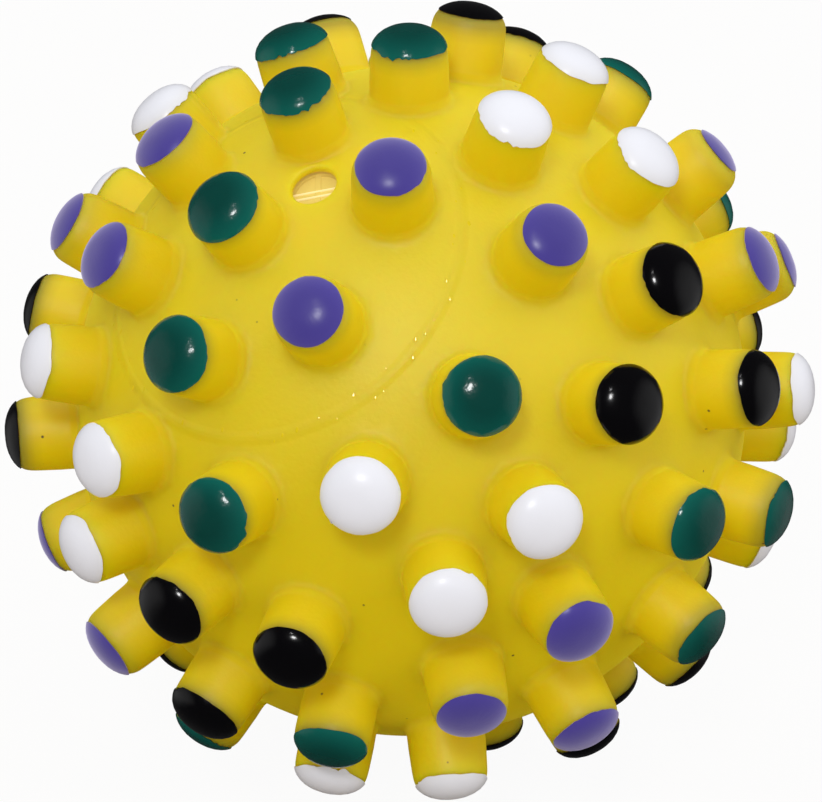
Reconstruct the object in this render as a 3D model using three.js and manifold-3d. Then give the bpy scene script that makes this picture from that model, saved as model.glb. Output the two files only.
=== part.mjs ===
// A spiky squeaky ball: a hollow soft vinyl ball with painted pegs moulded all over it, and a reed
// squeaker held in a socket behind its air port. Millimetres, +Z up, origin at the ball's centre.
import * as THREE from 'three';
import { mergeVertices } from 'three/addons/utils/BufferGeometryUtils.js';
import Module from 'manifold-3d';

const wasm = await Module();
wasm.setup();

// Ball: the round body under the pegs
const BODY_RADIUS = 41.9;
const WALL = 2.2;

// Pegs: a tapered stem under a full, rounded crown
const PEG_HEIGHT = 9.1;
const PEG_BASE_RADIUS = 5.2;
const PEG_SHOULDER_RADIUS = 4.7;
const CROWN_HEIGHT = 3.2;
const CROWN_FULLNESS = 2.3;
const PAINT_DEPTH = 2;

// Air port and the socket that the squeaker is pressed into
const PORT_TILT = 12.3;
const PORT_AZIMUTH = 38.3;
const PORT_RADIUS = 2.6;
const PORT_MOUTH_ROUND = 0.6;
const PORT_DEPTH = 1.5;
const SOCKET_WALL = 2;
const SOCKET_LIP = 0.8;
const SOCKET_LIP_HEIGHT = 1.2;

// Squeaker: a cup with a barred window, a cap, and a reed wedged on a half-round bed
const SQUEAKER_TWIST = -5;
const CASE_RADIUS = 6;
const CASE_HEIGHT = 7;
const CASE_WALL = 0.9;
const FACE_PLATE = 0.9;
const WINDOW_RADIUS = 3;
const BAR_WIDTH = 0.9;
const CAP_THICKNESS = 1.2;
const REED_BED_RADIUS = 2;
const REED_BED_WALL = 0.7;
const REED_BED_LENGTH = 5;
const REED_BED_END = 0.6;
const REED_WIDTH = 3.2;
const REED_THICKNESS = 0.25;
const REED_LENGTH = 4.9;
const WEDGE_LENGTH = 1.5;

// Clearance between pieces that seat on each other
const FIT = 0.3;

// Pegs by ring: the ring's tilt from the mould's pole, then each peg as its azimuth, its paint and
// how far it strays from the ring, all in whole degrees. The master was pegged by eye, so no ring
// is even. Paints are g green, p purple, k black and w white.
const PEG_RINGS = [
  [0, '140g+2'],
  [20, '0p+2 62g+1 120p+2 171p+2 233g+1 293p'],
  [40, '13w+1 47g-2 78g-4 115w-5 151p-4 182w+2 216w 248g+2 279w+4 309g+4 344p+4'],
  [60, '7w+1 30w-1 51k-5 86k+5 107w+6 132w+8 155k+5 181k+2 214w-4 235k-2 255k+4 282w+3 301w+2',
    '323k+2 345k+3'],
  [80, '16p 42g+5 60k+2 81w+4 102p+4 123g+4 144w+4 165g+2 187p+3 215p-4 233k 253g+3 275p+2 294p-1',
    '316g+3 338k+4 358p+3'],
  [100, '6p-3 32g+9 52w+4 72g+4 92k+4 112p+4 132k+4 152p+4 172w+4 219g+1 247w-5 263w+2 285p+1',
    '306g+2 327g+2 346w'],
  [120, '20k+7 43p+5 64k+4 85w+4 106g+4 127w+4 148k+4 169g+4 196k-9 223p+7 356w+8'],
  [140, '10g+6 45w+4 75g+4 102p+4 129g+4 156p+4 183k+2 211w+9 249k+4 278k-7 284k+8 304k-4 326k+12',
    '335w-6'],
  [160, '60p+4 120w+2 180g+2 240p+4 330g+8'],
];
const PEG_PATTERN = /(\d+)([gpkw])([+-]\d+)?/g;

// The ball stands on these three pegs, turned by HEADING so that its painted front faces -Y
const RESTING_PEGS = ['211w+9', '249k+4', '223p+7'];
const HEADING = 1.1;

// Colours of the vinyl and of the paint on the tips
const VINYL_COLOUR = 0xdcc025;
const PAINT_COLOURS = { g: 0x15604f, p: 0x554b90, k: 0x131113, w: 0xe9e7e7 };

// Fineness of the facets
const BODY_DETAIL = 5;
const CAVITY_DETAIL = 5;
const PEG_SIDES = 10;
const UPPER_CROWN_SHARE = 0.62;
const ROUND_SIDES = 28;
const MOUTH_STEPS = 3;
const REED_ARC_STEPS = 8;

// Places that follow from the sizes above
const TIP_RADIUS = BODY_RADIUS + PEG_HEIGHT;
const SEAT_RADIUS = BODY_RADIUS - PORT_DEPTH;
const FACE_RADIUS = SEAT_RADIUS - FIT;
const POCKET_RADIUS = CASE_RADIUS + FIT;
const LIP_TOP = FACE_RADIUS - CASE_HEIGHT - FIT;
const SOCKET_END = LIP_TOP - SOCKET_LIP_HEIGHT;
const CASE_BORE = CASE_RADIUS - CASE_WALL;
const REED_SEAT = FIT;
const WEDGE_SEAT = REED_SEAT + REED_THICKNESS + FIT;
const UP = new THREE.Vector3(0, 0, 1);
const DOWN = new THREE.Vector3(0, 0, -1);

// Direction from the ball's centre, by tilt from the mould's pole and azimuth round it
function direction(tilt, azimuth) {
  const t = THREE.MathUtils.degToRad(tilt);
  const a = THREE.MathUtils.degToRad(azimuth);
  return new THREE.Vector3(Math.sin(t) * Math.cos(a), Math.sin(t) * Math.sin(a), Math.cos(t));
}

function turnFromUp(axis) {
  return new THREE.Quaternion().setFromUnitVectors(UP, axis);
}

function readPegs() {
  const pegs = [];
  for (const [ringTilt, ...rows] of PEG_RINGS) {
    for (const [mark, azimuth, paint, stray] of rows.join(' ').matchAll(PEG_PATTERN)) {
      const axis = direction(ringTilt + Number(stray ?? 0), Number(azimuth));
      pegs.push({ mark, axis, paint });
    }
  }
  return pegs;
}

// A profile of [radius, height] points turned round the Z axis
function revolve(profile, sides) {
  const points = profile.map(([radius, height]) => new THREE.Vector2(radius, height));
  return new THREE.LatheGeometry(points, sides).rotateX(Math.PI / 2);
}

function solidOf(geometry, turn = new THREE.Quaternion()) {
  const loose = geometry.index ? geometry.toNonIndexed() : geometry;
  const bare = new THREE.BufferGeometry();
  bare.setAttribute('position', loose.getAttribute('position').clone());
  bare.applyQuaternion(turn);
  const merged = mergeVertices(bare);
  return new wasm.Manifold(new wasm.Mesh({
    numProp: 3,
    vertProperties: merged.attributes.position.array,
    triVerts: new Uint32Array(merged.index.array),
  }));
}

// The flat-shaded triangles of a joined or cut solid
function facetsOf(solid) {
  const mesh = solid.getMesh();
  const geometry = new THREE.BufferGeometry();
  geometry.setAttribute('position', new THREE.BufferAttribute(mesh.vertProperties, 3));
  geometry.setIndex(new THREE.BufferAttribute(mesh.triVerts, 1));
  const facets = geometry.toNonIndexed();
  facets.computeVertexNormals();
  return facets;
}

// Radius of a peg's crown at a height above its shoulder: a rounded square in section
function crownRadius(height) {
  const left = 1 - (height / CROWN_HEIGHT) ** CROWN_FULLNESS;
  return PEG_SHOULDER_RADIUS * left ** (1 / CROWN_FULLNESS);
}

function pegGeometry() {
  const shoulder = TIP_RADIUS - CROWN_HEIGHT;
  const paintLine = CROWN_HEIGHT - PAINT_DEPTH;
  const upperRing = CROWN_HEIGHT * (1 - UPPER_CROWN_SHARE ** CROWN_FULLNESS) ** (1 / CROWN_FULLNESS);
  const root = BODY_RADIUS - WALL / 2;
  return revolve([
    [0, root],
    [PEG_BASE_RADIUS, root],
    [crownRadius(paintLine), shoulder + paintLine],
    [crownRadius(upperRing), shoulder + upperRing],
    [0, TIP_RADIUS],
  ], PEG_SIDES);
}

// The stepped hole through the wall: the socket's lip, the pocket for the squeaker, and the port
// with its soft rounded mouth
function portGeometry() {
  const mouth = [];
  for (let step = 0; step <= MOUTH_STEPS; step++) {
    const angle = (step / MOUTH_STEPS) * (Math.PI / 2);
    mouth.push([
      PORT_RADIUS + PORT_MOUTH_ROUND * (1 - Math.cos(angle)),
      BODY_RADIUS - PORT_MOUTH_ROUND * (1 - Math.sin(angle)),
    ]);
  }
  const past = BODY_RADIUS + PORT_MOUTH_ROUND;
  return revolve([
    [0, SOCKET_END - FIT],
    [CASE_RADIUS - SOCKET_LIP, SOCKET_END - FIT],
    [CASE_RADIUS - SOCKET_LIP, LIP_TOP],
    [POCKET_RADIUS, LIP_TOP],
    [POCKET_RADIUS, SEAT_RADIUS],
    [PORT_RADIUS, SEAT_RADIUS],
    ...mouth,
    [PORT_RADIUS + PORT_MOUTH_ROUND, past],
    [0, past],
  ], ROUND_SIDES);
}

// The boss round the pocket, from its lip out into the wall
function socketGeometry() {
  const radius = POCKET_RADIUS + SOCKET_WALL;
  return revolve([
    [0, SOCKET_END],
    [radius, SOCKET_END],
    [radius, BODY_RADIUS],
    [0, BODY_RADIUS],
  ], ROUND_SIDES);
}

// Colours each facet of the ball: paint above a peg's paint line, bare vinyl elsewhere
function paintTips(facets, pegs) {
  const place = facets.getAttribute('position');
  const colours = new Float32Array(place.count * 3);
  const vinyl = new THREE.Color(VINYL_COLOUR);
  const middle = new THREE.Vector3();
  const corner = new THREE.Vector3();
  for (let first = 0; first < place.count; first += 3) {
    middle.set(0, 0, 0);
    for (let k = 0; k < 3; k++) {
      middle.add(corner.fromBufferAttribute(place, first + k));
    }
    middle.divideScalar(3);
    let colour = vinyl;
    for (const { axis, paint } of pegs) {
      if (middle.dot(axis) > TIP_RADIUS - PAINT_DEPTH) {
        colour = new THREE.Color(PAINT_COLOURS[paint]);
      }
    }
    for (let k = 0; k < 3; k++) {
      colour.toArray(colours, (first + k) * 3);
    }
  }
  facets.setAttribute('color', new THREE.BufferAttribute(colours, 3));
}

function ballShell(pegs, portTurn) {
  let body = solidOf(new THREE.IcosahedronGeometry(BODY_RADIUS, BODY_DETAIL));
  const peg = pegGeometry();
  for (const { axis } of pegs) {
    body = body.add(solidOf(peg, turnFromUp(axis)));
  }
  const socket = solidOf(socketGeometry(), portTurn);
  const hollow = solidOf(new THREE.IcosahedronGeometry(BODY_RADIUS - WALL, CAVITY_DETAIL));
  const port = solidOf(portGeometry(), portTurn);
  const facets = facetsOf(body.subtract(hollow.subtract(socket)).subtract(port));
  paintTips(facets, pegs);
  const material = new THREE.MeshStandardMaterial({ vertexColors: true, roughness: 0.38, metalness: 0 });
  return named('ball_shell', facets, material);
}

function named(name, geometry, material) {
  const mesh = new THREE.Mesh(geometry, material);
  mesh.name = name;
  return mesh;
}

function plastic(colour, roughness) {
  return new THREE.MeshStandardMaterial({ color: colour, roughness, metalness: 0 });
}

// Cup with a round window in its face, crossed by two bars
function squeakerCase() {
  const cup = solidOf(revolve([
    [WINDOW_RADIUS, -FACE_PLATE],
    [CASE_BORE, -FACE_PLATE],
    [CASE_BORE, -CASE_HEIGHT],
    [CASE_RADIUS, -CASE_HEIGHT],
    [CASE_RADIUS, 0],
    [WINDOW_RADIUS, 0],
    [WINDOW_RADIUS, -FACE_PLATE],
  ], ROUND_SIDES));
  const barLength = WINDOW_RADIUS + CASE_BORE;
  const across = new THREE.BoxGeometry(barLength, BAR_WIDTH, FACE_PLATE).translate(0, 0, -FACE_PLATE / 2);
  const upright = new THREE.BoxGeometry(BAR_WIDTH, barLength, FACE_PLATE).translate(0, 0, -FACE_PLATE / 2);
  const solid = cup.add(solidOf(across)).add(solidOf(upright));
  return named('squeaker_case', facetsOf(solid), plastic(0xd9cf9a, 0.2));
}

// Back lid, pressed into the cup, with a round hole that holds the reed bed's root
function squeakerCap() {
  const rim = CASE_BORE - FIT;
  const hole = REED_BED_RADIUS + FIT;
  const back = -CASE_HEIGHT;
  const front = back + CAP_THICKNESS;
  const ring = revolve([[hole, back], [rim, back], [rim, front], [hole, front], [hole, back]], ROUND_SIDES);
  return named('squeaker_cap', ring, plastic(0xe6e2d3, 0.35));
}

// A flat outline in X and Y, drawn out along Z from the cap's back
function fromCapBack(shape, length, start = 0) {
  const drawn = new THREE.ExtrudeGeometry(shape, {
    depth: length, bevelEnabled: false, curveSegments: REED_ARC_STEPS,
  });
  return drawn.translate(0, 0, start - CASE_HEIGHT);
}

// Half-round channel, open at its root and closed at its end, that the reed beats against
function reedBed() {
  const bore = REED_BED_RADIUS - REED_BED_WALL;
  const channel = new THREE.Shape();
  channel.absarc(0, 0, REED_BED_RADIUS, Math.PI, 2 * Math.PI);
  channel.absarc(0, 0, bore, 2 * Math.PI, Math.PI, true);
  const end = new THREE.Shape();
  end.absarc(0, 0, REED_BED_RADIUS, Math.PI, 2 * Math.PI);
  const walls = solidOf(fromCapBack(channel, REED_BED_LENGTH));
  const closed = walls.add(solidOf(fromCapBack(end, REED_BED_END, REED_BED_LENGTH - REED_BED_END)));
  return named('reed_bed', facetsOf(closed), plastic(0xc9302c, 0.4));
}

// Thin springy strip over the channel, gripped at its root
function reed() {
  const strip = new THREE.BoxGeometry(REED_WIDTH, REED_THICKNESS, REED_LENGTH);
  strip.translate(0, REED_SEAT + REED_THICKNESS / 2, REED_LENGTH / 2 - CASE_HEIGHT);
  return named('reed', strip, plastic(0xf2f2ee, 0.25));
}

// Plug that grips the reed's root against its bed inside the cap's hole
function reedWedge() {
  const reach = Math.asin(WEDGE_SEAT / REED_BED_RADIUS);
  const segment = new THREE.Shape();
  segment.absarc(0, 0, REED_BED_RADIUS, reach, Math.PI - reach);
  return named('reed_wedge', fromCapBack(segment, WEDGE_LENGTH), plastic(0xe6e2d3, 0.4));
}

function squeaker(portAxis, portTurn) {
  const group = new THREE.Group();
  group.add(squeakerCase(), squeakerCap(), reedBed(), reed(), reedWedge());
  group.position.copy(portAxis).multiplyScalar(FACE_RADIUS);
  const twist = new THREE.Quaternion().setFromAxisAngle(UP, THREE.MathUtils.degToRad(SQUEAKER_TWIST));
  group.quaternion.multiplyQuaternions(portTurn, twist);
  return group;
}

// Turns the ball so that the plane through its resting pegs' tips is level and lowest
function standOn(group, pegs) {
  const [a, b, c] = RESTING_PEGS.map((mark) => pegs.find((peg) => peg.mark === mark).axis);
  const lowest = b.clone().sub(a).cross(c.clone().sub(a)).normalize();
  if (lowest.dot(a) < 0) {
    lowest.negate();
  }
  const level = new THREE.Quaternion().setFromUnitVectors(lowest, DOWN);
  const heading = new THREE.Quaternion().setFromAxisAngle(UP, THREE.MathUtils.degToRad(HEADING));
  group.quaternion.multiplyQuaternions(heading, level);
}

const pegs = readPegs();
const portAxis = direction(PORT_TILT, PORT_AZIMUTH);
const portTurn = turnFromUp(portAxis);

const spikyBall = new THREE.Group();
spikyBall.add(ballShell(pegs, portTurn), squeaker(portAxis, portTurn));
standOn(spikyBall, pegs);

const part = new THREE.Group();
part.add(spikyBall);

export default part;
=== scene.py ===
import math
import re
from collections import namedtuple

import bmesh
import bpy
from bpy.props import FloatProperty, FloatVectorProperty, IntProperty, PointerProperty
from bpy.types import Operator, Panel, PropertyGroup
from mathutils import Matrix, Quaternion, Vector
from mathutils.kdtree import KDTree
from mathutils.noise import noise as noise_at


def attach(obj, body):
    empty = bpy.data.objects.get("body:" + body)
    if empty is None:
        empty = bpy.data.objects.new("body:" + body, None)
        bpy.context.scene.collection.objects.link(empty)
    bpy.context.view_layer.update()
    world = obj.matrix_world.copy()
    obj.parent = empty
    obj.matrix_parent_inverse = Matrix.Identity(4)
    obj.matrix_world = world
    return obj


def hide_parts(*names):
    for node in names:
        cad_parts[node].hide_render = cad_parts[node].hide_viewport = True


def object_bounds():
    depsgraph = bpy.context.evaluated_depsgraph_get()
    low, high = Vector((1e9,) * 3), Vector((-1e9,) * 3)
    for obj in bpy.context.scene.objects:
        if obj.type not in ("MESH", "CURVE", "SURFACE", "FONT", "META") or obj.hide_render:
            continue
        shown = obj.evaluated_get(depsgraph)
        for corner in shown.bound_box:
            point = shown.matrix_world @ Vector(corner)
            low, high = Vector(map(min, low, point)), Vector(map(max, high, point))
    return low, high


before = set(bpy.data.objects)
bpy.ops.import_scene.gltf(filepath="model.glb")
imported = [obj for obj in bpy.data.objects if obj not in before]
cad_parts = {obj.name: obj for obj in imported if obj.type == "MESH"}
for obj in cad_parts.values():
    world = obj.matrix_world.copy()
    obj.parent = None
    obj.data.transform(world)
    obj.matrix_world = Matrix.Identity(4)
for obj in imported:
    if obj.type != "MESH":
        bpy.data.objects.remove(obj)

bl_info = {
    "name": "Spiky Squeaky Ball",
    "version": (1, 0, 0),
    "blender": (4, 5, 0),
    "location": "View3D > Sidebar > Spiky Ball",
    "description": "Models a vinyl ball with painted pegs and a squeaker",
    "category": "Object",
}

CAD_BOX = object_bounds()
MM = 0.001
UP = Vector((0, 0, 1))
DOWN = Vector((0, 0, -1))

# Pegs by ring: the ring's tilt from the mould's pole, then each peg as its azimuth, its paint and how
# far it strays from the ring, all in whole degrees. Paints: g green, p purple, k black, w white.
PEG_RINGS = (
    (0, "140g+2"),
    (20, "0p+2 62g+1 120p+2 171p+2 233g+1 293p"),
    (40, "13w+1 47g-2 78g-4 115w-5 151p-4 182w+2 216w 248g+2 279w+4 309g+4 344p+4"),
    (60, "7w+1 30w-1 51k-5 86k+5 107w+6 132w+8 155k+5 181k+2 214w-4 235k-2 255k+4 282w+3 301w+2 "
         "323k+2 345k+3"),
    (80, "16p 42g+5 60k+2 81w+4 102p+4 123g+4 144w+4 165g+2 187p+3 215p-4 233k 253g+3 275p+2 294p-1 "
         "316g+3 338k+4 358p+3"),
    (100, "6p-3 32g+9 52w+4 72g+4 92k+4 112p+4 132k+4 152p+4 172w+4 219g+1 247w-5 263w+2 285p+1 "
          "306g+2 327g+2 346w"),
    (120, "20k+7 43p+5 64k+4 85w+4 106g+4 127w+4 148k+4 169g+4 196k-9 223p+7 356w+8"),
    (140, "10g+6 45w+4 75g+4 102p+4 129g+4 156p+4 183k+2 211w+9 249k+4 278k-7 284k+8 304k-4 326k+12 "
          "335w-6"),
    (160, "60p+4 120w+2 180g+2 240p+4 330g+8"),
)
# How much deeper or shallower than usual some of the coats are, in millimetres, by their pegs
COAT_RUNS = {
    "51k-5": -0.8, "86k+5": -0.8, "155k+5": -0.45, "181k+2": -0.5, "16p": -0.7, "151p-4": -0.3,
    "6p-3": -0.5, "306g+2": -0.6, "327g+2": -0.5, "344p+4": -0.35, "219g+1": -0.6, "304k-4": -0.4,
    "78g-4": 0.3, "233k": 0.4, "294p-1": 0.35, "140g+2": 0.3, "285p+1": 0.3,
}
PEG_PATTERN = re.compile(r"(\d+)([gpkw])([+-]\d+)?")

# How the ball stands: on three pegs, turned a little about the vertical
RESTING_PEGS = ("211w+9", "249k+4", "223p+7")
HEADING = math.radians(1.1)
# Where the port is, in degrees in the mould's frame, like the pegs
PORT_TILT, PORT_AZIMUTH = 12.3, 38.3

# Facets of the modelled forms
PEG_SIDES = 16
PORT_SIDES = 24
COAT_SIDES = 72
CASE_SIDES = 48

# The skin that is smoothed round a peg's foot: how far out over the body and how far up the stem it
# reaches, over what length it fades, and how far from the port's axis it stays
FOOT_REACH, FOOT_RISE = 1.6 * MM, 2.4 * MM
FOOT_FADE = 1 * MM
PORT_CLEARANCE = 4.2 * MM

# Painted shade beside dark paint, for the light that the paint keeps out of the see-through vinyl: the
# vinyl's colour darkens towards olive fully down to the first depth below the tip, and no more at the
# second
PAINT_SHADE_FULL, PAINT_SHADE_END = 2.0 * MM, 4.5 * MM
PAINT_SHADE_STRENGTH = 0.75
PAINT_SHADE_COLOUR = (0.26, 0.20, 0.02, 1.0)
SPECK_COLOUR = (0.10, 0.06, 0.02, 1.0)

# Flecks on the lid line: their radius and its spread, their lengths along their own axes, how far they
# stray from the line, how far from a peg's axis they stay, and how far one may turn to catch the flash
FLECK_COUNT = 64
GOLDEN_SHARE = 0.618034
FLECK_RADIUS, FLECK_SPREAD = 0.15 * MM, 0.06 * MM
FLECK_SHAPE = (0.8, 1.6, 0.12)
FLECK_STRAY = 0.9 * MM
FLECK_CLEARANCE = 6.3 * MM
GLINT_SPREAD = math.radians(18)

# Edge of a coat: how far up it is uneven, how far and over what lengths it drifts, sags and chips, and
# how long the chipped and the smooth stretches are
EDGE_FADE = 0.9 * MM
DRIFT = 0.8 * MM
DRIFT_LENGTH, SAG_LENGTH, CHIP_LENGTH = 25 * MM, 5 * MM, 0.8 * MM
CHIPPED_STRETCH = 6 * MM

# The squeaker: its face below the body's skin, then the radius and the ends of its pocket along the
# port's axis, with the CAD socket's clearances, and the lip and the flange that close the socket
SQUEAKER_TWIST = math.radians(-5)
CASE_SEAT = 1.8 * MM
SQUEAKER_POCKET = (6.3 * MM, 32.8 * MM, 31.6 * MM)
SOCKET_LIP = 1.1 * MM
SOCKET_FLANGE = 2 * MM
# Bars across its face, and the ridges on the wider bar, by size and place in millimetres
CASE_BARS = (((0.75, 6.4, 0.8), (0, 0, -0.45)), ((6.4, 1.15, 0.7), (0, 0, -0.5)))
CASE_RIDGES = (((6.4, 0.26, 0.4), (0, 0.4, -0.15)), ((6.4, 0.26, 0.4), (0, -0.4, -0.15)))
BAR_ROUND = 0.12 * MM

# The light: both lamps' directions in the camera's axes, their distance and sizes, and the share of the
# flash's power that the spark has. The tent is brighter towards its key by this contrast either way.
FLASH_TOWARDS = Vector((-0.125, 0.271, 0.954))
SPARK_TOWARDS = Vector((-0.17, 0.56, 0.81))
FLASH_DISTANCE = 1200 * MM
FLASH_SIZE, SPARK_SIZE = 200 * MM, 60 * MM
SPARK_SHARE = 0.08
TENT_KEY = (0.25, 0.20, 0.30)
TENT_CONTRAST = 0.55
# What the ball's gloss shows: a dim studio, and panels that begin and are full this far to the sides
STUDIO_DIM, PANEL_BRIGHT = 0.035, 0.42
PANEL_START, PANEL_FULL = 0.72, 1.02
# Width of the camera's sensor, in millimetres like its lens
SENSOR_WIDTH = 36

# A coat of each paint: its piece, its record slot and colour, its depth below the tip, how far its edge
# sags and chips, how rough and how lumpy it is, how pale it is at a low angle, how much lighter its
# colour is at its edge, partly for thinner paint and partly as a painted reflection, and how much
# painted shade it lays on the vinyl beside it
Paint = namedtuple("Paint", "piece slot colour depth sag chip roughness lumps bloom rim stain")
PAINTS = {
    "g": Paint("green_tips", "green_paint", "green", depth=2.0 * MM, sag=0.9 * MM, chip=1.3 * MM,
               roughness=0.17, lumps=0.05 * MM, bloom=0.0, rim=2.4, stain=0.8),
    "p": Paint("purple_tips", "purple_paint", "purple", depth=1.4 * MM, sag=0.6 * MM, chip=0.4 * MM,
               roughness=0.31, lumps=0.01 * MM, bloom=0.8, rim=1.2, stain=0.45),
    "k": Paint("black_tips", "black_paint", "black", depth=2.05 * MM, sag=0.7 * MM, chip=0.4 * MM,
               roughness=0.15, lumps=0.01 * MM, bloom=0.0, rim=1.0, stain=1.0),
    "w": Paint("white_tips", "white_paint", "white", depth=1.95 * MM, sag=1.1 * MM, chip=1.1 * MM,
               roughness=0.31, lumps=0.01 * MM, bloom=0.0, rim=1.0, stain=0.0),
}


class SpikyBallSizes(PropertyGroup):
    """Sizes of the ball, its pegs and its port"""

    body_radius: FloatProperty(
        name="Body Radius", description="Radius of the round body", default=41.9 * MM, unit="LENGTH")
    wall: FloatProperty(
        name="Wall", description="Thickness of the vinyl", default=2.2 * MM, unit="LENGTH")
    tip_radius: FloatProperty(
        name="Tip Radius", description="Centre of the ball to a painted tip", default=50.9 * MM,
        unit="LENGTH")
    root_radius: FloatProperty(
        name="Root Radius", description="Radius where a peg runs out into the body",
        default=5.05 * MM, unit="LENGTH")
    crowded_root_radius: FloatProperty(
        name="Crowded Root Radius", description="Root radius of a peg that stands close to another",
        default=4.65 * MM, unit="LENGTH")
    shoulder_radius: FloatProperty(
        name="Shoulder Radius", description="Radius of a peg under its crown", default=4.7 * MM,
        unit="LENGTH")
    crown_height: FloatProperty(
        name="Crown Height", description="Height of a peg's rounded end", default=3.2 * MM,
        unit="LENGTH")
    crown_fullness: FloatProperty(
        name="Crown Fullness", description="2 is an ellipse and more is squarer", default=2.3)
    coat: FloatProperty(
        name="Coat", description="Thickness of the paint", default=0.16 * MM, unit="LENGTH")
    port_radius: FloatProperty(
        name="Port Radius", description="Radius of the air port", default=2.7 * MM, unit="LENGTH")
    mouth_round: FloatProperty(
        name="Mouth Round", description="Rounding of the port's mouth", default=0.5 * MM, unit="LENGTH")
    port_depth: FloatProperty(
        name="Port Depth", description="Wall left over the squeaker's face", default=1.5 * MM,
        unit="LENGTH")
    lid_angle: FloatProperty(
        name="Lid Angle", description="Half angle of the mould's lid line", default=math.radians(32.5),
        subtype="ANGLE")


class SpikyBallFinish(PropertyGroup):
    """Colours of the vinyl and the paints"""

    vinyl: FloatVectorProperty(
        name="Vinyl", description="Colour of the thin round wall", default=(0.762, 0.576, 0.005),
        subtype="COLOR")
    deep_vinyl: FloatVectorProperty(
        name="Deep Vinyl", description="Colour of the thick pegs", default=(0.742, 0.578, 0.001),
        subtype="COLOR")
    green: FloatVectorProperty(
        name="Green", description="Dark teal green paint", default=(0.001, 0.046, 0.037),
        subtype="COLOR")
    purple: FloatVectorProperty(
        name="Purple", description="Violet paint", default=(0.044, 0.030, 0.240), subtype="COLOR")
    black: FloatVectorProperty(
        name="Black", description="Black paint", default=(0.0015, 0.0013, 0.002), subtype="COLOR")
    white: FloatVectorProperty(
        name="White", description="White paint", default=(0.765, 0.773, 0.83), subtype="COLOR")
    grain: IntProperty(
        name="Grain", description="Fine bumps to the metre in the vinyl's skin", default=1800)


class SpikyBallStage(PropertyGroup):
    """Camera and light of the photograph"""

    elevation: FloatProperty(
        name="Elevation", description="Camera above the horizon", default=math.radians(28.29),
        subtype="ANGLE")
    roll: FloatProperty(
        name="Roll", description="Tilt of the camera about its line of sight",
        default=math.radians(0.67), subtype="ANGLE")
    distance: FloatProperty(
        name="Distance", description="Camera to the ball's centre", default=398 * MM, unit="LENGTH")
    lens: FloatProperty(
        name="Lens", description="Focal length in millimetres", default=138.6)
    flash_power: FloatProperty(
        name="Flash Power", description="Small lamp by the camera, in watts", default=4.1)
    tent_light: FloatProperty(
        name="Tent Light", description="Even light from all round", default=0.81)


# Places

def direction(tilt, azimuth):
    """Unit vector in the mould's frame, by degrees from its pole and round it"""
    t, a = math.radians(tilt), math.radians(azimuth)
    return Vector((math.sin(t) * math.cos(a), math.sin(t) * math.sin(a), math.cos(t)))


def mould_pegs():
    """Mark, axis in the mould's frame and paint letter of every peg"""
    pegs = []
    for ring_tilt, row in PEG_RINGS:
        for match in PEG_PATTERN.finditer(row):
            azimuth, paint, stray = match.groups()
            pegs.append((match.group(), direction(ring_tilt + int(stray or 0), int(azimuth)), paint))
    return pegs


def standing_turn(pegs):
    """Turn from the mould's frame to the ball standing on its three resting pegs"""
    a, b, c = (next(axis for mark, axis, _ in pegs if mark == rest) for rest in RESTING_PEGS)
    lowest = (b - a).cross(c - a).normalized()
    if lowest.dot(a) < 0:
        lowest.negate()
    return Quaternion(UP, HEADING) @ lowest.rotation_difference(DOWN)


def crown_radius(sizes, height):
    """Radius of a bare peg's crown at a height above its shoulder"""
    left = max(0.0, 1 - (height / sizes.crown_height) ** sizes.crown_fullness)
    return sizes.shoulder_radius * left ** (1 / sizes.crown_fullness)


def crown_height_at(sizes, radius):
    """Height above the shoulder at which a bare peg's crown has this radius"""
    left = 1 - (radius / sizes.shoulder_radius) ** sizes.crown_fullness
    return sizes.crown_height * left ** (1 / sizes.crown_fullness)


def bare_tip(sizes):
    return sizes.tip_radius - sizes.coat


def camera_turn(stage):
    """Turn of a camera aimed at the ball's centre: +X is the picture's right and +Z points back"""
    back = Vector((0, -math.cos(stage.elevation), math.sin(stage.elevation)))
    above = Vector((0, math.sin(stage.elevation), math.cos(stage.elevation)))
    right = Vector((1, 0, 0)) * math.cos(stage.roll) + above * math.sin(stage.roll)
    return Matrix((right, back.cross(right), back)).transposed()


def mirror_axis(stage, point):
    """Normal with which a flat spot at this point throws the flash into the camera"""
    turn = camera_turn(stage)
    to_camera = (turn.col[2] * stage.distance - point).normalized()
    to_flash = (turn @ FLASH_TOWARDS * FLASH_DISTANCE - point).normalized()
    return (to_camera + to_flash).normalized()


MOULD_PEGS = mould_pegs()
STANDING = standing_turn(MOULD_PEGS)
PEGS = [(STANDING @ axis, paint) for _, axis, paint in MOULD_PEGS]
POLE = STANDING @ UP
PORT_AXIS = STANDING @ direction(PORT_TILT, PORT_AZIMUTH)
PORT_TURN = STANDING @ UP.rotation_difference(direction(PORT_TILT, PORT_AZIMUTH))


# Modelling helpers

def start_clean():
    if bpy.context.mode != "OBJECT":
        bpy.ops.object.mode_set(mode="OBJECT")
    bpy.ops.object.select_all(action="DESELECT")


def make_active(piece):
    start_clean()
    piece.select_set(True)
    bpy.context.view_layer.objects.active = piece


def edit(piece, select="VERT"):
    make_active(piece)
    bpy.ops.object.mode_set(mode="EDIT")
    bpy.ops.mesh.select_mode(type=select)


def leave_edit():
    bpy.ops.object.mode_set(mode="OBJECT")


def select_where(piece, kind, test):
    """Selects only the verts, edges or faces of the mesh in edit mode that pass the test"""
    bpy.ops.mesh.select_all(action="DESELECT")
    mesh = bmesh.from_edit_mesh(piece.data)
    chosen = [part for part in getattr(mesh, kind) if test(part)]
    if not chosen:
        raise RuntimeError(f"{piece.name} has none of the {kind} that the next step shapes")
    for part in chosen:
        part.select_set(True)
    mesh.select_flush_mode()
    bmesh.update_edit_mesh(piece.data)


def apply_modifier(piece, kind, **settings):
    make_active(piece)
    modifier = piece.modifiers.new(kind.title(), kind)
    for name, value in settings.items():
        setattr(modifier, name, value)
    bpy.ops.object.modifier_apply(modifier=modifier.name)


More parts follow.
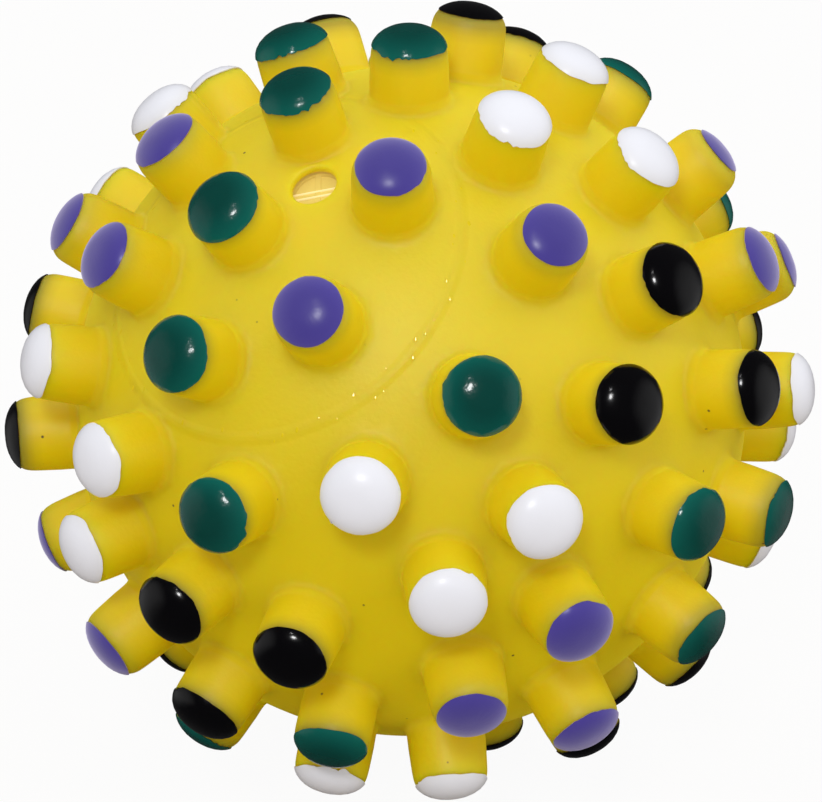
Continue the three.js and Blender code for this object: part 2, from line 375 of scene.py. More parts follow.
def subdivide_smooth(piece, levels):
    apply_modifier(piece, "SUBSURF", levels=levels, render_levels=levels)


def settle(piece):
    """Puts a piece's place into its mesh"""
    make_active(piece)
    bpy.ops.object.transform_apply(location=True, rotation=True, scale=True)


def join_pieces(pieces, name):
    start_clean()
    for piece in pieces:
        piece.select_set(True)
    bpy.context.view_layer.objects.active = pieces[0]
    bpy.ops.object.join()
    joined = bpy.context.object
    joined.name = name
    settle(joined)
    return joined


def require_closed(piece):
    mesh = bmesh.new()
    mesh.from_mesh(piece.data)
    open_edges = sum(not edge.is_manifold for edge in mesh.edges)
    mesh.free()
    if open_edges:
        raise RuntimeError(f"{piece.name} has {open_edges} open edges")


def finish_piece(piece, slot, material, *nodes):
    piece.data.materials.clear()
    piece.data.materials.append(material)
    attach(piece, "ball")
    if nodes:
        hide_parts(*nodes)


# Materials

def new_material(name):
    material = bpy.data.materials.new(name)
    material.use_nodes = True
    tree = material.node_tree
    return material, tree, tree.nodes["Principled BSDF"]


def feed(tree, socket, value):
    """Links an input to another node's output, or sets it to a plain value"""
    if isinstance(value, bpy.types.NodeSocket):
        tree.links.new(value, socket)
    else:
        socket.default_value = value


def add_node(tree, kind, inputs=(), **settings):
    node = tree.nodes.new(kind)
    for name, value in settings.items():
        setattr(node, name, value)
    for key, value in dict(inputs).items():
        feed(tree, node.inputs[key], value)
    return node


def maths(tree, operation, *values):
    node = add_node(tree, "ShaderNodeMath", dict(enumerate(values)), operation=operation)
    return node.outputs["Value"]


def vector_maths(tree, operation, *values):
    """Outputs of a vector maths node: Vector, and Value for a length or a dot product"""
    return add_node(tree, "ShaderNodeVectorMath", dict(enumerate(values)), operation=operation).outputs


def noise(tree, place, scale, detail=2.0):
    node = add_node(tree, "ShaderNodeTexNoise", {"Vector": place, "Scale": scale, "Detail": detail})
    return node.outputs["Fac"]


def remap(tree, value, low, high, to_low=0.0, to_high=1.0, ease="LINEAR"):
    node = add_node(tree, "ShaderNodeMapRange", {
        "Value": value, "From Min": low, "From Max": high, "To Min": to_low, "To Max": to_high},
        interpolation_type=ease)
    return node.outputs["Result"]


def mix_colour(tree, factor, first, second):
    node = add_node(tree, "ShaderNodeMix", data_type="RGBA")
    for key, value in (("Factor_Float", factor), ("A_Color", first), ("B_Color", second)):
        feed(tree, next(s for s in node.inputs if s.identifier == key), value)
    return next(s for s in node.outputs if s.identifier == "Result_Color")


def opaque(colour, gain=1.0):
    return (*(channel * gain for channel in colour), 1.0)


def skin_group():
    """Moulded skin: fine grain as a normal, and a slow mottle between 0 and 1"""
    name = "Moulded Skin"
    if name in bpy.data.node_groups:
        return bpy.data.node_groups[name]
    group = bpy.data.node_groups.new(name, "ShaderNodeTree")
    face = group.interface
    for label in ("Mottle Scale", "Grain Scale", "Grain Depth"):
        face.new_socket(name=label, in_out="INPUT", socket_type="NodeSocketFloat")
    face.new_socket(name="Mottle", in_out="OUTPUT", socket_type="NodeSocketFloat")
    face.new_socket(name="Normal", in_out="OUTPUT", socket_type="NodeSocketVector")
    outside = add_node(group, "NodeGroupInput").outputs
    place = add_node(group, "ShaderNodeTexCoord").outputs["Object"]
    mottle = noise(group, place, outside["Mottle Scale"], 3.0)
    grain = noise(group, place, outside["Grain Scale"], 2.0)
    bump = add_node(group, "ShaderNodeBump", {"Distance": outside["Grain Depth"], "Height": grain})
    result = add_node(group, "NodeGroupOutput")
    group.links.new(remap(group, mottle, 0.3, 0.7), result.inputs["Mottle"])
    group.links.new(bump.outputs["Normal"], result.inputs["Normal"])
    return group


def add_skin(tree, mottle_scale, grain_scale, grain_depth):
    return add_node(tree, "ShaderNodeGroup", {
        "Mottle Scale": mottle_scale, "Grain Scale": grain_scale, "Grain Depth": grain_depth},
        node_tree=skin_group())


def vinyl_material(finish, sizes):
    """Soft yellow vinyl: satin, dull round the pegs' feet, a little see-through, with dark specks, and
    painted shade beside dark paint
    """
    material, tree, shader = new_material("soft_vinyl")
    place = add_node(tree, "ShaderNodeTexCoord").outputs["Object"]
    skin = add_skin(tree, 70.0, float(finish.grain), 0.03 * MM)
    reach = vector_maths(tree, "LENGTH", place)["Value"]
    thin, thick = sizes.body_radius + 0.2 * MM, sizes.body_radius + 2.5 * MM
    peg = remap(tree, reach, thin, thick)
    hue = mix_colour(tree, peg, opaque(finish.vinyl), opaque(finish.deep_vinyl))
    shade = remap(tree, skin.outputs["Mottle"], 0, 1, 0.06, 0.0)
    tint = mix_colour(tree, shade, hue, opaque(finish.deep_vinyl, 0.6))
    # Painted shade: beside dark paint the vinyl's colour darkens towards olive, for the light the paint
    # keeps out
    stain = add_node(tree, "ShaderNodeAttribute", attribute_name="stain").outputs["Fac"]
    paint_shaded = mix_colour(tree, stain, tint, PAINT_SHADE_COLOUR)
    line = lid_line(tree, place, sizes)
    lined = mix_colour(tree, remap(tree, line, 0, 1, 0, 0.18), paint_shaded, opaque(finish.deep_vinyl, 0.8))
    colour = mix_colour(tree, dark_specks(tree, place), lined, SPECK_COLOUR)
    tree.links.new(colour, shader.inputs["Base Color"])
    satin = remap(tree, skin.outputs["Mottle"], 0, 1, 0.48, 0.56)
    foot = sizes.body_radius + 0.7 * MM
    from_foot = maths(tree, "ABSOLUTE", maths(tree, "SUBTRACT", reach, foot))
    roughness = remap(tree, from_foot, 0.3 * MM, 0.65 * MM, 1.0, satin)
    tree.links.new(roughness, shader.inputs["Roughness"])
    bump = add_node(tree, "ShaderNodeBump", {
        "Distance": 0.13 * MM, "Height": line, "Normal": skin.outputs["Normal"]})
    tree.links.new(bump.outputs["Normal"], shader.inputs["Normal"])
    shader.inputs["Subsurface Weight"].default_value = 1.0
    shader.inputs["Subsurface Radius"].default_value = (1.0, 0.60, 0.10)
    shader.inputs["Subsurface Scale"].default_value = 6 * MM
    return material


def dark_specks(tree, place):
    """Mask of small specks, in the few cells of a fine pattern that a random colour chooses"""
    cells = add_node(tree, "ShaderNodeTexVoronoi", {"Vector": place, "Scale": 400.0}).outputs
    near = remap(tree, cells["Distance"], 0.05, 0.09, 1.0, 0.0)
    rare = add_node(tree, "ShaderNodeSeparateColor", {"Color": cells["Color"]}).outputs["Red"]
    return maths(tree, "MULTIPLY", near, remap(tree, rare, 0.9, 0.93))


def lid_line(tree, place, sizes):
    """Mask of the line that the mould's lid leaves round its pole"""
    width = 1.0 * MM / sizes.body_radius
    outward = vector_maths(tree, "NORMALIZE", place)["Vector"]
    angle = maths(tree, "ARCCOSINE", vector_maths(tree, "DOT_PRODUCT", outward, POLE)["Value"])
    away = maths(tree, "ABSOLUTE", maths(tree, "SUBTRACT", angle, sizes.lid_angle))
    band = remap(tree, away, 0.1 * width, width, 1.0, 0.0, "SMOOTHSTEP")
    uneven = remap(tree, noise(tree, place, 60.0), 0.35, 0.6, 0.35, 1.0)
    return maths(tree, "MULTIPLY", band, uneven)


def paint_material(paint, colour, sizes):
    """Thick glossy paint, a little uneven, lighter towards its edge, partly where it thins and partly as
    a painted reflection
    """
    material, tree, shader = new_material(paint.slot)
    skin = add_skin(tree, 160.0, 1100.0, paint.lumps)
    tint = mix_colour(tree, skin.outputs["Mottle"], opaque(colour, 0.985), opaque(colour, 1.01))
    place = add_node(tree, "ShaderNodeTexCoord").outputs["Object"]
    reach = vector_maths(tree, "LENGTH", place)["Value"]
    # Lighter towards the edge: partly thinner paint over the vinyl, partly a painted reflection
    thin = remap(tree, reach, sizes.tip_radius - 0.2 * MM, sizes.tip_radius - paint.depth)
    tree.links.new(mix_colour(tree, thin, tint, opaque(colour, paint.rim)), shader.inputs["Base Color"])
    spread = 0.03
    roughness = remap(
        tree, skin.outputs["Mottle"], 0, 1, paint.roughness - spread, paint.roughness + spread)
    tree.links.new(roughness, shader.inputs["Roughness"])
    tree.links.new(skin.outputs["Normal"], shader.inputs["Normal"])
    shader.inputs["Specular IOR Level"].default_value = 0.4
    shader.inputs["Sheen Weight"].default_value = paint.bloom
    shader.inputs["Sheen Roughness"].default_value = 0.5
    shader.inputs["Sheen Tint"].default_value = (0.75, 0.70, 1.0, 1.0)
    return material


def plastic_material(name, colour, roughness, clear=0.0, glow=0.0):
    """Hard moulded plastic, milky or clear; its glow is painted light, standing for the light that comes
    through the vinyl
    """
    material, tree, shader = new_material(name)
    skin = add_skin(tree, 300.0, 2500.0, 0.01 * MM)
    tint = mix_colour(tree, skin.outputs["Mottle"], opaque(colour, 0.94), opaque(colour, 1.05))
    tree.links.new(tint, shader.inputs["Base Color"])
    uneven = remap(tree, skin.outputs["Mottle"], 0, 1, roughness, roughness + 0.08)
    tree.links.new(uneven, shader.inputs["Roughness"])
    tree.links.new(skin.outputs["Normal"], shader.inputs["Normal"])
    shader.inputs["Transmission Weight"].default_value = clear
    shader.inputs["Emission Color"].default_value = opaque(colour)
    shader.inputs["Emission Strength"].default_value = glow
    return material


# The ball

def peg_roots(sizes):
    """Axis and root radius of every peg: less where a full root would meet another or the port"""
    spread = math.asin(sizes.root_radius / sizes.body_radius)
    port_spread = math.asin((sizes.port_radius + sizes.mouth_round) / sizes.body_radius)
    room, port_room = 2.02 * spread, 1.02 * (spread + port_spread)
    roots = []
    for axis, _ in PEGS:
        crowded = axis.angle(PORT_AXIS) < port_room or any(
            other is not axis and axis.angle(other) < room for other, _ in PEGS)
        roots.append((axis, sizes.crowded_root_radius if crowded else sizes.root_radius))
    return roots


def peg_tree():
    """Finds the peg nearest to a direction"""
    axes = KDTree(len(PEGS))
    for index, (axis, _) in enumerate(PEGS):
        axes.insert(axis, index)
    axes.balance()
    return axes


def sow_body(sizes, roots):
    """The body as loose points on the sphere, clear of the pegs' roots and of the port"""
    start_clean()
    bpy.ops.mesh.primitive_ico_sphere_add(subdivisions=5, radius=sizes.body_radius)
    ball = bpy.context.object
    ball.name = "vinyl_ball"
    margin = 1.4 * MM
    edit(ball)
    select_where(ball, "verts", lambda v: any(
        v.co.angle(axis) < math.asin((root + margin) / sizes.body_radius) for axis, root in roots))
    bpy.ops.mesh.delete(type="VERT")
    bpy.ops.mesh.select_all(action="SELECT")
    bpy.ops.mesh.delete(type="EDGE_FACE")
    return ball


def add_disc(sizes, axis, radius, sides):
    """A flat many-sided face whose corners lie on the body"""
    height = math.sqrt(sizes.body_radius ** 2 - radius ** 2)
    bpy.ops.mesh.primitive_circle_add(
        vertices=sides, radius=radius, fill_type="NGON", location=axis * height,
        rotation=UP.rotation_difference(axis).to_euler())


def raise_profile(profile, sides):
    """Steps every selected face along its normal through [radius, height] points"""
    flat = math.cos(math.pi / sides)
    for (radius, height), (next_radius, next_height) in zip(profile, profile[1:]):
        bpy.ops.mesh.inset(
            thickness=(radius - next_radius) * flat, depth=next_height - height, use_individual=True)


def stem_profile(sizes, root):
    """From the body up to a peg's shoulder, as shares of the root's overhang and of the stem's height"""
    shoulder = bare_tip(sizes) - sizes.crown_height
    foot = math.sqrt(sizes.body_radius ** 2 - root ** 2)
    overhang = root - sizes.shoulder_radius
    steps = ((1.0, 0.0), (0.85, 0.12), (0.65, 0.3), (0.35, 0.6), (0.04, 1.0))
    return [(sizes.shoulder_radius + overhang * lean, foot + (shoulder - foot) * rise)
            for lean, rise in steps]


def crown_profile(sizes, start, shares):
    """Over a peg's crown, by shares of its shoulder radius"""
    shoulder = bare_tip(sizes) - sizes.crown_height
    points = [start]
    for share in shares:
        radius = sizes.shoulder_radius * share
        points.append((radius, shoulder + crown_height_at(sizes, radius)))
    return points


def raise_pegs(ball, sizes, roots):
    crowded = [axis for axis, root in roots if root == sizes.crowded_root_radius]
    for root, is_here in ((sizes.root_radius, False), (sizes.crowded_root_radius, True)):
        select_where(ball, "faces", lambda f: len(f.verts) == PEG_SIDES and is_here == any(
            f.normal.angle(axis) < 0.01 for axis in crowded))
        profile = stem_profile(sizes, root)
        raise_profile(profile, PEG_SIDES)
        raise_profile(crown_profile(sizes, profile[-1], (0.975, 0.9, 0.76, 0.5, 0.2)), PEG_SIDES)


def sink_port(ball, sizes):
    """The port, the pocket behind it and the socket's lip, down to an open edge inside the ball"""
    seat = sizes.body_radius - sizes.port_depth
    pocket, lip_top, socket_end = SQUEAKER_POCKET
    mouth = sizes.port_radius + sizes.mouth_round
    select_where(ball, "faces", lambda f: len(f.verts) == PORT_SIDES)
    radius, height = mouth, math.sqrt(sizes.body_radius ** 2 - mouth ** 2)
    for next_radius, next_height in (
            (sizes.port_radius + 0.5 * sizes.mouth_round, height - 0.12 * sizes.mouth_round),
            (sizes.port_radius + 0.17 * sizes.mouth_round, height - 0.45 * sizes.mouth_round),
            (sizes.port_radius, height - sizes.mouth_round),
            (sizes.port_radius, seat),
            (pocket, seat),
            (pocket, lip_top),
            (pocket - SOCKET_LIP, lip_top),
            (pocket - SOCKET_LIP, socket_end),
            (pocket + SOCKET_FLANGE, socket_end)):
        bpy.ops.mesh.extrude_region()
        share = next_radius / radius
        bpy.ops.transform.resize(value=(share,) * 3, center_override=PORT_AXIS * height)
        bpy.ops.transform.translate(value=PORT_AXIS * (next_height - height))
        radius, height = next_radius, next_height
    bpy.ops.mesh.delete(type="ONLY_FACE")


def hollow_out(ball, sizes):
    """The inner wall, joined to the edge that the socket left open"""
    inner = sizes.body_radius - sizes.wall
    bpy.ops.mesh.primitive_uv_sphere_add(
        segments=PORT_SIDES, ring_count=PORT_SIDES, radius=inner,
        rotation=UP.rotation_difference(PORT_AXIS).to_euler())
    opening = math.radians(11)

    def is_over_socket(face):
        middle = face.calc_center_median()
        return 0.97 * inner < middle.length < 1.001 * inner and middle.angle(PORT_AXIS) < opening

    bpy.ops.mesh.select_mode(type="FACE")
    select_where(ball, "faces", is_over_socket)
    bpy.ops.mesh.delete(type="FACE")
    bpy.ops.mesh.select_mode(type="EDGE")
    select_where(ball, "edges", lambda e: e.is_boundary)
    bpy.ops.mesh.bridge_edge_loops()


class SPIKY_OT_vinyl_ball(Operator):
    """Cast the hollow vinyl ball with its pegs, port and squeaker socket"""

    bl_idname = "spiky_ball.vinyl_ball"
    bl_label = "Vinyl Ball"
    bl_options = {"REGISTER", "UNDO"}

    def execute(self, context):
        sizes = context.scene.spiky_ball_sizes
        roots = peg_roots(sizes)
        mouth = sizes.port_radius + sizes.mouth_round
        ball = sow_body(sizes, roots + [(PORT_AXIS, mouth)])
        for axis, root in roots:
            add_disc(sizes, axis, root, PEG_SIDES)
        add_disc(sizes, PORT_AXIS, mouth, PORT_SIDES)
        bpy.ops.mesh.select_all(action="SELECT")
        bpy.ops.mesh.convex_hull(use_existing_faces=True, join_triangles=False)
        bpy.ops.mesh.select_mode(type="FACE")
        raise_pegs(ball, sizes, roots)
        sink_port(ball, sizes)
        hollow_out(ball, sizes)
        bpy.ops.mesh.select_all(action="SELECT")
        bpy.ops.mesh.normals_make_consistent(inside=False)
        leave_edit()
        require_closed(ball)
        self.round_body(ball, sizes)
        make_active(ball)
        bpy.ops.object.shade_smooth()
        self.mark_paint_shade(ball, sizes)
        vinyl = vinyl_material(context.scene.spiky_ball_finish, sizes)
        finish_piece(ball, "vinyl", vinyl, "ball_shell")
        return {"FINISHED"}

    def round_body(self, ball, sizes):
        """Smooths the whole skin and keeps the body between the pegs truly round"""
        body = ball.vertex_groups.new(name="body")
        for vertex in ball.data.vertices:
            if abs(vertex.co.length - sizes.body_radius) < 0.01 * MM:
                body.add([vertex.index], 1.0, "REPLACE")
        subdivide_smooth(ball, 1)
        apply_modifier(ball, "CAST", cast_type="SPHERE", factor=1.0, radius=0.0,
                       use_radius_as_size=False, size=sizes.body_radius, vertex_group="body")
        self.mark_feet(ball, sizes)
        apply_modifier(ball, "SMOOTH", factor=0.5, iterations=6, vertex_group="feet")
        ball.vertex_groups.clear()

    def mark_paint_shade(self, ball, sizes):
        """Marks the painted shade that dark paint lays on the see-through vinyl under and beside it"""
        axes = peg_tree()
        stain = ball.data.attributes.new("stain", "FLOAT", "POINT")
        for vertex, mark in zip(ball.data.vertices, stain.data):
            _, index, _ = axes.find(vertex.co.normalized())
            below_tip = bare_tip(sizes) - vertex.co.length
            fade = min(1.0, max(0.0, (PAINT_SHADE_END - below_tip) / (PAINT_SHADE_END - PAINT_SHADE_FULL)))
            mark.value = PAINT_SHADE_STRENGTH * PAINTS[PEGS[index][1]].stain * fade * fade

    def mark_feet(self, ball, sizes):
        """Weights the skin round every peg's foot, fading out over the body and up the stem"""
        axes = peg_tree()
        feet = ball.vertex_groups.new(name="feet")
        for vertex in ball.data.vertices:
            rise = vertex.co.length - sizes.body_radius
            by_port = vertex.co.angle(PORT_AXIS) * sizes.body_radius < PORT_CLEARANCE
            if by_port or not -0.05 * MM < rise < FOOT_RISE:
                continue
            away = axes.find(vertex.co.normalized())[2] * sizes.body_radius - sizes.root_radius
            weight = min(1.0, (FOOT_REACH - away) / FOOT_FADE, (FOOT_RISE - rise) / FOOT_FADE)
            if weight > 0:
                feet.add([vertex.index], weight, "REPLACE")


class SPIKY_OT_mould_flecks(Operator):
    """Scatter the small shiny flecks of flash along the mould's lid line"""

    bl_idname = "spiky_ball.mould_flecks"
    bl_label = "Mould Flecks"
    bl_options = {"REGISTER", "UNDO"}

    def execute(self, context):
        sizes = context.scene.spiky_ball_sizes
        across = POLE.orthogonal().normalized()
        flecks = []
        for index in range(FLECK_COUNT):
            turn = Quaternion(POLE, math.tau * GOLDEN_SHARE * index)
            stray = FLECK_STRAY * math.sin(7.3 * index) / sizes.body_radius
            outward = turn @ (Quaternion(across, sizes.lid_angle + stray) @ POLE)
            if min(outward.angle(axis) for axis, _ in PEGS) * sizes.body_radius < FLECK_CLEARANCE:
                continue
            radius = FLECK_RADIUS + FLECK_SPREAD * math.sin(3.1 * index)
            spot = outward * sizes.body_radius
            mirror = mirror_axis(context.scene.spiky_ball_stage, spot)
            facing = mirror if mirror.angle(outward) < GLINT_SPREAD else outward
            start_clean()
            bpy.ops.mesh.primitive_ico_sphere_add(
                subdivisions=3, radius=radius, scale=FLECK_SHAPE, location=spot,
                rotation=facing.to_track_quat("Z", "Y").to_euler())
            flecks.append(context.object)
        piece = join_pieces(flecks, "mould_flecks")
        bpy.ops.object.shade_smooth()
        finish_piece(piece, "vinyl", plastic_material("shiny_vinyl", (0.78, 0.60, 0.01), 0.12))
        return {"FINISHED"}


class SPIKY_OT_paint_coats(Operator):
    """Brush a thick coat of paint over every peg's tip"""

    bl_idname = "spiky_ball.paint_coats"
    bl_label = "Paint Coats"
    bl_options = {"REGISTER", "UNDO"}

    def execute(self, context):
        sizes = context.scene.spiky_ball_sizes
        finish = context.scene.spiky_ball_finish
        for letter, paint in PAINTS.items():
            coats = []
            for mark, axis, own in MOULD_PEGS:
                if own == letter:
                    coat = self.model_coat(sizes, paint.depth + COAT_RUNS.get(mark, 0) * MM)
                    self.lay_coat(coat, STANDING @ axis, paint)
                    coats.append(coat)
            piece = join_pieces(coats, paint.piece)
            piece.vertex_groups.clear()
            apply_modifier(
                piece, "SHRINKWRAP", target=bpy.data.objects["vinyl_ball"], offset=sizes.coat,
                wrap_method="NEAREST_SURFACEPOINT", wrap_mode="ABOVE_SURFACE")
            apply_modifier(piece, "SOLIDIFY", thickness=0.9 * sizes.coat, offset=-1.0)
            make_active(piece)
            bpy.ops.object.shade_smooth_by_angle(angle=math.radians(50))
            colour = getattr(finish, paint.colour)
            finish_piece(piece, paint.slot, paint_material(paint, colour, sizes))
        return {"FINISHED"}

    def model_coat(self, sizes, depth):
        """One coat along +Z, with its edge in a vertex group that fades upwards"""
        shoulder = bare_tip(sizes) - sizes.crown_height
        line = sizes.crown_height - depth
        edge = (crown_radius(sizes, line), shoulder + line)
        start_clean()
        bpy.ops.mesh.primitive_circle_add(
            vertices=COAT_SIDES, radius=edge[0], fill_type="NGON", location=(0, 0, edge[1]))
        coat = bpy.context.object
        edit(coat, "FACE")
        bpy.ops.mesh.select_all(action="SELECT")
        start_share = edge[0] / sizes.shoulder_radius
        shares = [start_share * s for s in (0.985, 0.96, 0.9, 0.8, 0.65, 0.48, 0.3, 0.12)]
        raise_profile(crown_profile(sizes, edge, shares), COAT_SIDES)
        leave_edit()
        settle(coat)
        rim = coat.vertex_groups.new(name="rim")
        for vertex in coat.data.vertices:
            weight = 1 - (vertex.co.z - edge[1]) / EDGE_FADE
            if weight > 0:
                rim.add([vertex.index], weight, "REPLACE")
        return coat

    def lay_coat(self, coat, axis, paint):
        """Turns a coat over its peg and gives it an edge of its own"""
        coat.matrix_world = UP.rotation_difference(axis).to_matrix().to_4x4()
        bpy.context.view_layer.update()
        self.mark_chips(coat)
        for name, length, strength, group in (
                ("drift", DRIFT_LENGTH, DRIFT, "rim"),
                ("sag", SAG_LENGTH, paint.sag, "rim"),
                ("chip", CHIP_LENGTH, paint.chip, "chips")):
            texture = bpy.data.textures.get(name) or bpy.data.textures.new(name, "CLOUDS")
            texture.noise_scale = length
            apply_modifier(coat, "DISPLACE", texture=texture, texture_coords="GLOBAL", direction="Z",
                           vertex_group=group, strength=strength, mid_level=0.5)

    def mark_chips(self, coat):
        """Weights the stretches of the edge that are chipped, a little over half, and leaves the rest"""
        chips = coat.vertex_groups.new(name="chips")
        rim = coat.vertex_groups["rim"].index
        for vertex in coat.data.vertices:
            weight = next((group.weight for group in vertex.groups if group.group == rim), 0.0)
            rough = 2.5 * noise_at((coat.matrix_world @ vertex.co) / CHIPPED_STRETCH) + 0.1
            if weight > 0 and rough > 0:
                chips.add([vertex.index], weight * min(1.0, rough), "REPLACE")


class SPIKY_OT_squeaker(Operator):
    """Mould the squeaker's clear case and give its other pieces their plastics"""

    bl_idname = "spiky_ball.squeaker"
    bl_label = "Squeaker"
    bl_options = {"REGISTER", "UNDO"}

    def execute(self, context):
        sizes = context.scene.spiky_ball_sizes
        face = [*self.model_bars(CASE_BARS), self.model_web()]
        case = join_pieces([self.model_cup(), *face], "clear_case")
        self.place(case, sizes)
        # The case's glow is painted light that lifts the shade inside the port
        clear = plastic_material("clear_plastic", (0.66, 0.51, 0.13), 0.15, glow=0.3)
        finish_piece(case, "clear_plastic", clear, "squeaker_case")
        ridges = join_pieces(self.model_bars(CASE_RIDGES), "case_ridges")
        self.place(ridges, sizes)
        # Painted highlight: the ridges are a much paler copy of the case's plastic and glow, for the
        # glints along the bar's edges
        bright = plastic_material("bright_ridges", (0.96, 0.83, 0.42), 0.1, glow=0.2)
        finish_piece(ridges, "clear_plastic", bright)
        natural = plastic_material("natural_plastic", (0.78, 0.75, 0.65), 0.35)
        finishes = {
            "squeaker_cap": natural,
            "reed_bed": plastic_material("red_plastic", (0.58, 0.03, 0.025), 0.4),
            "reed": plastic_material("reed_film", (0.88, 0.88, 0.85), 0.2, clear=0.3),
            "reed_wedge": natural,
        }
        for node, material in finishes.items():
            for material_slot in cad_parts[node].material_slots:
                material_slot.material = material
        return {"FINISHED"}

    def model_cup(self):
        """A cup open at the back, with a round window through its face at z = 0"""
        radius, height, wall, window = 6 * MM, 7 * MM, 0.9 * MM, 3 * MM
        flat = math.cos(math.pi / CASE_SIDES)
        start_clean()
        bpy.ops.mesh.primitive_cylinder_add(
            vertices=CASE_SIDES, radius=radius, depth=height, location=(0, 0, -height / 2))
        cup = bpy.context.object
        settle(cup)
        edit(cup, "FACE")
        select_where(cup, "faces", lambda f: f.normal.z < -0.9)
        bpy.ops.mesh.inset(thickness=wall * flat)
        bpy.ops.mesh.extrude_region()
        bpy.ops.transform.translate(value=(0, 0, height - wall))
        bpy.ops.mesh.inset(thickness=(radius - wall - window) * flat)
        bpy.ops.mesh.delete(type="FACE")
        select_where(cup, "faces", lambda f: f.normal.z > 0.9 and len(f.verts) == CASE_SIDES)
        bpy.ops.mesh.inset(thickness=(radius - window) * flat)
        bpy.ops.mesh.delete(type="FACE")
        bpy.ops.mesh.select_mode(type="EDGE")
        select_where(cup, "edges", lambda e: e.is_boundary)
        bpy.ops.mesh.bridge_edge_loops()
        bpy.ops.mesh.select_all(action="SELECT")
        bpy.ops.mesh.normals_make_consistent(inside=False)
        leave_edit()
        return cup

    def place(self, piece, sizes):
        """Turns a piece that was modelled along +Z into the pocket behind the port"""
        face = sizes.body_radius - CASE_SEAT
        turn = PORT_TURN @ Quaternion(UP, SQUEAKER_TWIST)
        piece.matrix_world = Matrix.Translation(PORT_AXIS * face) @ turn.to_matrix().to_4x4()
        settle(piece)
        bpy.ops.object.shade_smooth_by_angle(angle=math.radians(35))

    def model_bars(self, boxes):
        """Bars with rounded edges, by size and place in millimetres"""
        bars = []
        for size, place in boxes:
            start_clean()
            bpy.ops.mesh.primitive_cube_add(size=MM, location=Vector(place) * MM, scale=size)
            bar = bpy.context.object
            settle(bar)
            edit(bar, "EDGE")
            bpy.ops.mesh.select_all(action="SELECT")
            bpy.ops.mesh.bevel(offset=BAR_ROUND, segments=3)
            leave_edit()
            bars.append(bar)
        return bars

    def model_web(self):
        """The thin web behind the bars, which leaves a slot for air round its edge"""
        radius, thickness, height = 2.8 * MM, 0.3 * MM, -0.35 * MM
        start_clean()
        bpy.ops.mesh.primitive_cylinder_add(
            vertices=CASE_SIDES, radius=radius, depth=thickness, location=(0, 0, height))
        return bpy.context.object


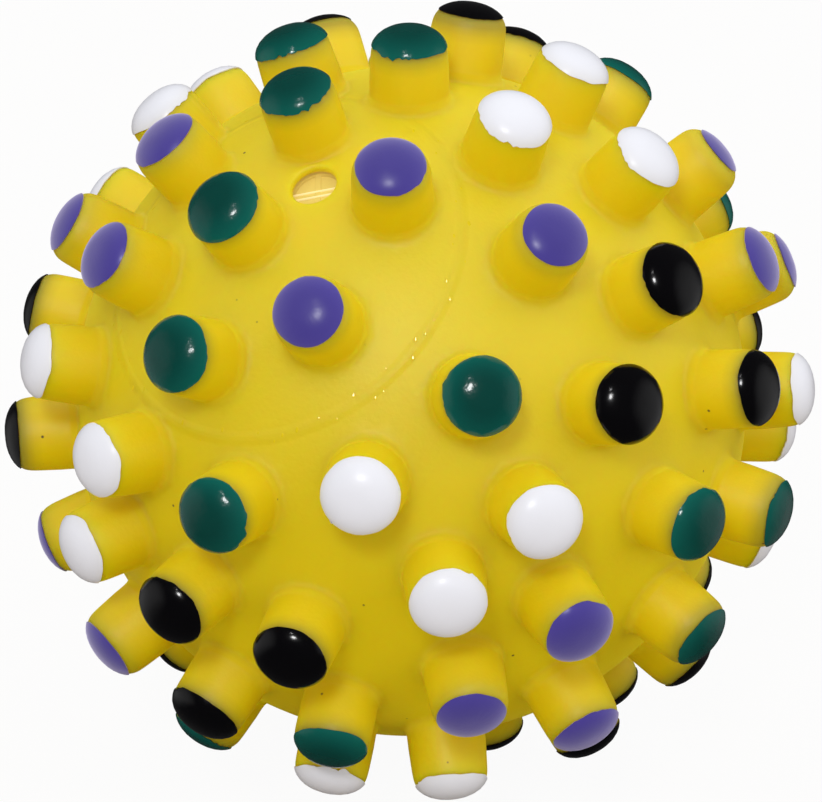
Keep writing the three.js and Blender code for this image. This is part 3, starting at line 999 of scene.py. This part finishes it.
class SPIKY_OT_stage(Operator):
    """Set the pale floor, the soft light and the photograph's camera"""

    bl_idname = "spiky_ball.stage"
    bl_label = "Stage"
    bl_options = {"REGISTER", "UNDO"}

    def execute(self, context):
        stage = context.scene.spiky_ball_stage
        context.scene.view_settings.view_transform = "Standard"
        self.add_floor()
        self.add_tent(context.scene, stage)
        self.add_camera(context.scene, stage)
        turn = camera_turn(stage)
        self.add_lamp("flash", turn @ FLASH_TOWARDS, FLASH_SIZE, stage.flash_power)
        self.add_lamp("spark", turn @ SPARK_TOWARDS, SPARK_SIZE, SPARK_SHARE * stage.flash_power)
        return {"FINISHED"}

    def add_floor(self):
        """A pale floor: white to the camera, and the same studio in the ball's gloss as the tent"""
        start_clean()
        bpy.ops.mesh.primitive_plane_add(size=6.0, location=(0, 0, CAD_BOX[0].z))
        floor = bpy.context.object
        floor.name = "floor"
        material, tree, shader = new_material("pale_floor")
        shader.inputs["Base Color"].default_value = (0.58, 0.53, 0.48, 1)
        shader.inputs["Roughness"].default_value = 0.9
        shader.inputs["Specular IOR Level"].default_value = 0.1
        path = add_node(tree, "ShaderNodeLightPath").outputs
        spot = add_node(tree, "ShaderNodeNewGeometry").outputs["Position"]
        gloss = self.side_panels(tree, vector_maths(tree, "NORMALIZE", spot)["Vector"])
        white = remap(tree, path["Is Glossy Ray"], 0, 1, 1.0, gloss)
        glow = add_node(tree, "ShaderNodeEmission", {"Color": (1, 1, 1, 1), "Strength": white})
        seen = remap(tree, path["Is Camera Ray"], 0, 1, 0.0, 0.95)
        share = maths(tree, "MAXIMUM", seen, path["Is Glossy Ray"])
        mixed = add_node(tree, "ShaderNodeMixShader", {
            0: share, 1: shader.outputs["BSDF"], 2: glow.outputs["Emission"]})
        tree.links.new(mixed.outputs["Shader"], tree.nodes["Material Output"].inputs["Surface"])
        floor.data.materials.append(material)

    def side_panels(self, tree, ray):
        """How bright the ball's gloss sees the studio along a ray: dim, with a panel on either side"""
        along = add_node(tree, "ShaderNodeSeparateXYZ", {"Vector": ray}).outputs["X"]
        side = maths(tree, "ABSOLUTE", along)
        return remap(tree, side, PANEL_START, PANEL_FULL, STUDIO_DIM, PANEL_BRIGHT, "SMOOTHSTEP")

    def add_tent(self, scene, stage):
        """White to the camera and even to the ball, but dim in its gloss, like the dark studio beyond"""
        world = bpy.data.worlds.new("light_tent")
        world.use_nodes = True
        scene.world = world
        tree = world.node_tree
        background = tree.nodes["Background"]
        background.inputs["Color"].default_value = (1, 1, 1, 1)
        path = add_node(tree, "ShaderNodeLightPath").outputs
        ray = add_node(tree, "ShaderNodeTexCoord").outputs["Generated"]
        gloss = self.side_panels(tree, ray)
        key = vector_maths(tree, "DOT_PRODUCT", ray, TENT_KEY)["Value"]
        span = 0.44
        tent = remap(tree, key, -span, span, (1 - TENT_CONTRAST) * stage.tent_light,
                     (1 + TENT_CONTRAST) * stage.tent_light)
        lit = add_node(tree, "ShaderNodeMix", {
            "Factor": path["Is Glossy Ray"], "A": tent, "B": gloss}).outputs["Result"]
        strength = maths(tree, "MAXIMUM", lit, path["Is Camera Ray"])
        tree.links.new(strength, background.inputs["Strength"])

    def add_camera(self, scene, stage):
        camera_data = bpy.data.cameras.new("camera")
        camera_data.lens = stage.lens
        camera_data.sensor_width = SENSOR_WIDTH
        camera_data.clip_start = 10 * MM
        camera = bpy.data.objects.new("camera", camera_data)
        turn = camera_turn(stage)
        camera.matrix_world = Matrix.Translation(turn.col[2] * stage.distance) @ turn.to_4x4()
        scene.collection.objects.link(camera)
        scene.camera = camera

    def add_lamp(self, name, towards, size, power):
        lamp_data = bpy.data.lights.new(name, "AREA")
        lamp_data.shape = "DISK"
        lamp_data.size = size
        lamp_data.energy = power
        lamp = bpy.data.objects.new(name, lamp_data)
        lamp.location = towards * FLASH_DISTANCE
        lamp.rotation_mode = "QUATERNION"
        lamp.rotation_quaternion = (-towards).to_track_quat("-Z", "Y")
        bpy.context.scene.collection.objects.link(lamp)


class SPIKY_PT_ball(Panel):
    """Sizes, finishes and steps of the spiky ball"""

    bl_idname = "SPIKY_PT_ball"
    bl_label = "Spiky Ball"
    bl_space_type = "VIEW_3D"
    bl_region_type = "UI"
    bl_category = "Spiky Ball"

    def draw(self, context):
        for settings in (context.scene.spiky_ball_sizes, context.scene.spiky_ball_finish,
                         context.scene.spiky_ball_stage):
            box = self.layout.box()
            for name in settings.__annotations__:
                box.prop(settings, name)
        for step in STEPS:
            self.layout.operator(step.bl_idname)


STEPS = (SPIKY_OT_vinyl_ball, SPIKY_OT_mould_flecks, SPIKY_OT_paint_coats, SPIKY_OT_squeaker,
         SPIKY_OT_stage)
SETTINGS = {
    "spiky_ball_sizes": SpikyBallSizes,
    "spiky_ball_finish": SpikyBallFinish,
    "spiky_ball_stage": SpikyBallStage,
}


def register():
    for cls in (*SETTINGS.values(), *STEPS, SPIKY_PT_ball):
        bpy.utils.register_class(cls)
    for name, cls in SETTINGS.items():
        setattr(bpy.types.Scene, name, PointerProperty(type=cls))


def unregister():
    for name in SETTINGS:
        delattr(bpy.types.Scene, name)
    for cls in (SPIKY_PT_ball, *reversed(STEPS), *SETTINGS.values()):
        bpy.utils.unregister_class(cls)


def main():
    register()
    bpy.ops.spiky_ball.vinyl_ball()
    bpy.ops.spiky_ball.mould_flecks()
    bpy.ops.spiky_ball.paint_coats()
    bpy.ops.spiky_ball.squeaker()
    bpy.ops.spiky_ball.stage()


if __name__ == "__main__":
    main()
